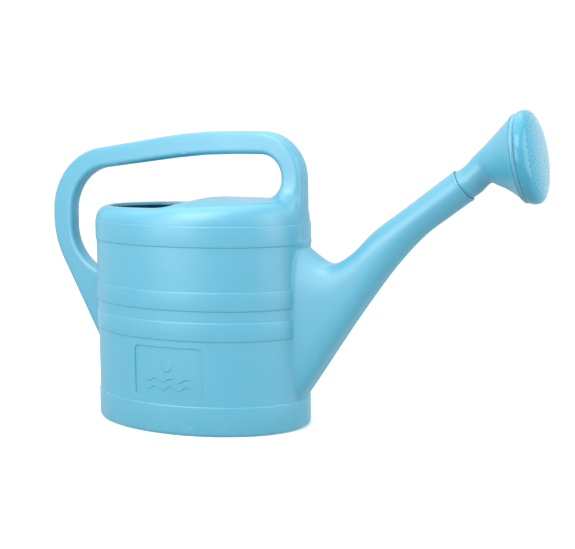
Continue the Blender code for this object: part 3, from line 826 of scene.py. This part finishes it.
def cap_profile():
    """(height, radius) from the rear rim up the swelling side and over the dome, and back inside."""
    outer = [(GAP, CAP_REAR_RADIUS - CAP_EDGE), (GAP + CAP_EDGE * 0.3, CAP_REAR_RADIUS - CAP_EDGE * 0.2)]
    for k in range(1, SIDE_STEPS):
        angle = math.pi / 2 * (1 - k / SIDE_STEPS)
        swell = (CAP_RADIUS - CAP_REAR_RADIUS) * math.cos(angle)
        outer.append((CAP_SIDE - (CAP_SIDE - GAP) * math.sin(angle), CAP_REAR_RADIUS + swell))
    outer += [dome(CAP_RADIUS, CAP_DOME, step) for step in range(DOME_STEPS)]
    inner = [dome(CAP_RADIUS - WALL, CAP_DOME - WALL, step) for step in reversed(range(DOME_STEPS))]
    bore = SNAP_RING_RADIUS + GAP
    return outer, inner + [(CAP_SIDE / 2, bore), (GAP, bore)]


def cap_ring(height, radius, count=160):
    """A level ring of the upright cap."""
    turns = [2 * math.pi * k / count for k in range(count)]
    return [Vector((radius * math.cos(a), radius * math.sin(a), height)) for a in turns]


def spray_cutter():
    """Rings of spray holes: one in the middle, then six more in each ring."""
    work = bmesh.new()
    places = [(0.0, 0.0)]
    for ring in range(1, HOLE_RINGS + 1):
        turns = [2 * math.pi * k / (6 * ring) for k in range(6 * ring)]
        places += [(HOLE_PITCH * ring * math.cos(a), HOLE_PITCH * ring * math.sin(a)) for a in turns]
    for x, y in places:
        bmesh.ops.create_cone(
            work, cap_ends=True, segments=12, radius1=SPRAY_HOLE_RADIUS, radius2=SPRAY_HOLE_RADIUS,
            depth=SPRAY_CUTTER_LENGTH, matrix=Matrix.Translation((x, y, CAP_DOME)))
    mesh = bpy.data.meshes.new("spray_cutter")
    work.to_mesh(mesh)
    work.free()
    return add_object("spray_cutter", mesh)


def build_cap(material):
    """The domed cap, built upright, pierced, and then turned onto the funnel's ring."""
    outside, inside = cap_profile()
    rings = [cap_ring(height, radius) for height, radius in outside + inside]
    split = len(outside)
    work = bmesh.new()
    rows = [[work.verts.new(point) for point in ring] for ring in rings]
    pairs = [pair for k, pair in enumerate(zip(rows, rows[1:])) if k != split - 1]
    pairs.append((rows[-1], rows[0]))
    for row, following in pairs:
        for k in range(len(row)):
            step = (k + 1) % len(row)
            work.faces.new((row[k], row[step], following[step], following[k]))
    top = CAP_SIDE + CAP_DOME
    for row, height in ((rows[split - 1], top), (rows[split], top - WALL)):
        middle = work.verts.new((0.0, 0.0, height))
        for k in range(len(row)):
            work.faces.new((row[k], row[(k + 1) % len(row)], middle))
    bmesh.ops.recalc_face_normals(work, faces=work.faces)
    mesh = bpy.data.meshes.new("rose_cap")
    work.to_mesh(mesh)
    work.free()
    cap = add_object("rose_cap", mesh)
    carve(cap, [spray_cutter()], 'DIFFERENCE')
    turn = Matrix.Translation(FLANGE_CENTRE) @ Matrix.Rotation(math.pi / 2 - FACE_TILT, 4, 'Y')
    cap.data.transform(turn)
    finish_surface(cap, material, "cap")
    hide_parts("rose_face")


# Materials: a noise is its scale, its detail and where it is sampled

CAN_BLUE = (0.062, 0.316, 0.446, 1.0)
CAN_DEEP_BLUE = (0.056, 0.304, 0.432, 1.0)
ROSE_BLUE = (0.048, 0.292, 0.420, 1.0)
ROSE_DEEP_BLUE = (0.043, 0.280, 0.407, 1.0)
WORN_BLUE = (0.62, 0.80, 0.88, 1.0)
CLOUDS = (14.0, 3.0, 1.3)         # of the pigment
PATCHES = (22.0, 4.0, 7.7)        # of duller and glossier plastic
DULLER = 0.06
GLOSSIER = 0.04
SOFT_EDGED = (0.3, 0.7, 0.0, 1.0)         # how clouds turn into a share
RIPPLES = (9.0, 1.0, 2.9)
RIPPLE_STRENGTH = 0.35
RIPPLE_HEIGHT = 0.0015
GRAIN = (900.0, 2.0, 5.5)
GRAIN_HEIGHT = 0.00025
SCRATCHES = (160.0, 6.0, 4.1)
SCRATCH_EDGED = (0.60, 0.72, 0.0, 1.0)    # how their noise turns into thin marks
SCUFF_TOP = 0.03                  # they fade out up to this height
SCUFF_STRENGTH = 0.12
MIX_A, MIX_B, MIX_RESULT = 6, 7, 2        # the colour sockets of a Mix node
PALE_GREY = (0.97, 0.97, 0.97, 1.0)


def map_range(nodes, low, high, out_low, out_high):
    """A node that turns low to high into out_low to out_high."""
    remap = nodes.new("ShaderNodeMapRange")
    for socket, number in zip(remap.inputs[1:5], (low, high, out_low, out_high)):
        socket.default_value = number
    return remap


def plastic(name, colour, deep, roughness, grain, shine, seed):
    """Plastic with cloudy pigment, a fine moulded grain, slow ripples and light scuffs near the ground."""
    made = bpy.data.materials.new(name)
    made.use_nodes = True
    nodes, links = made.node_tree.nodes, made.node_tree.links
    shader = nodes["Principled BSDF"]
    place = nodes.new("ShaderNodeTexCoord")

    def noise(scale, detail, offset):
        shift = nodes.new("ShaderNodeMapping")
        shift.inputs["Location"].default_value = (offset, seed, offset * 2)
        links.new(place.outputs["Object"], shift.inputs["Vector"])
        texture = nodes.new("ShaderNodeTexNoise")
        texture.inputs["Scale"].default_value = scale
        texture.inputs["Detail"].default_value = detail
        links.new(shift.outputs["Vector"], texture.inputs["Vector"])
        return texture.outputs["Fac"]

    def spread(value, *limits):
        remap = map_range(nodes, *limits)
        links.new(value, remap.inputs["Value"])
        return remap.outputs["Result"]

    def mix(share, first, second):
        """A mix of two colours, of which the first may come from another node."""
        mixed = nodes.new("ShaderNodeMix")
        mixed.data_type = 'RGBA'
        if isinstance(first, bpy.types.NodeSocket):
            links.new(first, mixed.inputs[MIX_A])
        else:
            mixed.inputs[MIX_A].default_value = first
        mixed.inputs[MIX_B].default_value = second
        links.new(share, mixed.inputs["Factor"])
        return mixed.outputs[MIX_RESULT]

    def bump(height, strength, distance, under=None):
        raised = nodes.new("ShaderNodeBump")
        raised.inputs["Strength"].default_value = strength
        raised.inputs["Distance"].default_value = distance
        links.new(height, raised.inputs["Height"])
        if under:
            links.new(under, raised.inputs["Normal"])
        return raised.outputs["Normal"]

    pigment = mix(spread(noise(*CLOUDS), *SOFT_EDGED), colour, deep)

    split = nodes.new("ShaderNodeSeparateXYZ")
    links.new(place.outputs["Object"], split.inputs["Vector"])
    scuff = nodes.new("ShaderNodeMath")
    scuff.operation = 'MULTIPLY'
    links.new(spread(split.outputs["Z"], 0.0, SCUFF_TOP, 1.0, 0.0), scuff.inputs[0])
    links.new(spread(noise(*SCRATCHES), *SCRATCH_EDGED), scuff.inputs[1])
    worn = mix(spread(scuff.outputs[0], 0.0, 1.0, 0.0, SCUFF_STRENGTH), pigment, WORN_BLUE)
    links.new(worn, shader.inputs["Base Color"])

    dullness = spread(noise(*PATCHES), *SOFT_EDGED[:2], roughness - GLOSSIER, roughness + DULLER)
    links.new(dullness, shader.inputs["Roughness"])
    ripples = bump(noise(*RIPPLES), RIPPLE_STRENGTH, RIPPLE_HEIGHT)
    links.new(bump(noise(*GRAIN), grain, GRAIN_HEIGHT, ripples), shader.inputs["Normal"])
    finish = {"IOR": 1.5, "Specular IOR Level": shine, "Subsurface Weight": 0.12,
              "Subsurface Radius": (0.3, 0.8, 1.0), "Subsurface Scale": 0.004}
    for socket, value in finish.items():
        shader.inputs[socket].default_value = value
    return made


def flat_material(name, colour, roughness):
    made = bpy.data.materials.new(name)
    made.use_nodes = True
    shader = made.node_tree.nodes["Principled BSDF"]
    shader.inputs["Base Color"].default_value = colour
    shader.inputs["Roughness"].default_value = roughness
    return made


# Studio

MIDDLE = (0.05, 0.0, 0.17)
LAMPS = [                         # name, place, what it faces, size and watts
    ("top_light", (-0.1, 0.1, 1.6), MIDDLE, (1.8, 1.8), 14.0),
    ("key_light", (-0.15, -0.80, 1.0), MIDDLE, (0.6, 0.6), 6.0),
    ("front_card", (-0.32, -0.95, 0.38), (0.05, 0.0, 0.25), (0.6, 0.5), 3.4),
    ("side_light", (1.3, -0.15, 0.55), MIDDLE, (1.1, 1.1), 8.0),
]
SKY_FADE = (-0.35, -0.06, 0.75, 1.12)     # heights of a view direction, and the sky's strength there
FLOOR_HALF = 6.0
CAMERA_PLACE = (0.6715, -1.2325, 0.347)
CAMERA_VIEW = (-0.4115, 0.9029, -0.1246)
CAMERA_LENS = 74.6                # millimetres, as is the next
CAMERA_SENSOR = 36.0


def area_light(name, place, target, size, power):
    light = bpy.data.lights.new(name, 'AREA')
    light.shape = 'RECTANGLE'
    light.size, light.size_y = size
    light.energy = power
    made = bpy.data.objects.new(name, light)
    made.location = place
    made.rotation_euler = (Vector(target) - Vector(place)).to_track_quat('-Z', 'Y').to_euler()
    bpy.context.scene.collection.objects.link(made)


def build_sky():
    """White all round, and dimmer below the horizon, where a real floor would shade the can."""
    world = bpy.data.worlds.new("studio")
    world.use_nodes = True
    nodes, links = world.node_tree.nodes, world.node_tree.links
    nodes["Background"].inputs["Color"].default_value = (1.0, 1.0, 1.0, 1.0)
    place = nodes.new("ShaderNodeTexCoord")
    split = nodes.new("ShaderNodeSeparateXYZ")
    fade = map_range(nodes, *SKY_FADE)
    links.new(place.outputs["Generated"], split.inputs["Vector"])
    links.new(split.outputs["Z"], fade.inputs["Value"])
    links.new(fade.outputs["Result"], nodes["Background"].inputs["Strength"])
    bpy.context.scene.world = world


def build_floor():
    """A pale floor that the camera sees, and that neither bounces light onto the can nor blocks it."""
    half = FLOOR_HALF
    sheet = bpy.data.meshes.new("floor")
    corners = [(-half, -half, 0), (half, -half, 0), (half, half, 0), (-half, half, 0)]
    sheet.from_pydata(corners, [], [(0, 1, 2, 3)])
    sheet.materials.append(flat_material("pale_floor", PALE_GREY, 0.8))
    floor = add_object("floor", sheet)
    floor.visible_diffuse = False
    floor.visible_glossy = False
    floor.visible_shadow = False


def build_camera():
    camera = bpy.data.cameras.new("camera")
    camera.lens = CAMERA_LENS
    camera.sensor_width = CAMERA_SENSOR
    made = bpy.data.objects.new("camera", camera)
    made.location = CAMERA_PLACE
    made.rotation_euler = Vector(CAMERA_VIEW).to_track_quat('-Z', 'Y').to_euler()
    bpy.context.scene.collection.objects.link(made)
    bpy.context.scene.camera = made


satin = plastic("can_plastic", CAN_BLUE, CAN_DEEP_BLUE, roughness=0.38, grain=0.25, shine=1.0, seed=0.0)
glossy = plastic("rose_plastic", ROSE_BLUE, ROSE_DEEP_BLUE, roughness=0.18, grain=0.06, shine=0.5, seed=3.0)
build_can(satin)
build_funnel(satin)
build_cap(glossy)
bpy.context.scene.view_settings.view_transform = 'Standard'
build_sky()
build_floor()
for lamp in LAMPS:
    area_light(*lamp)
build_camera()
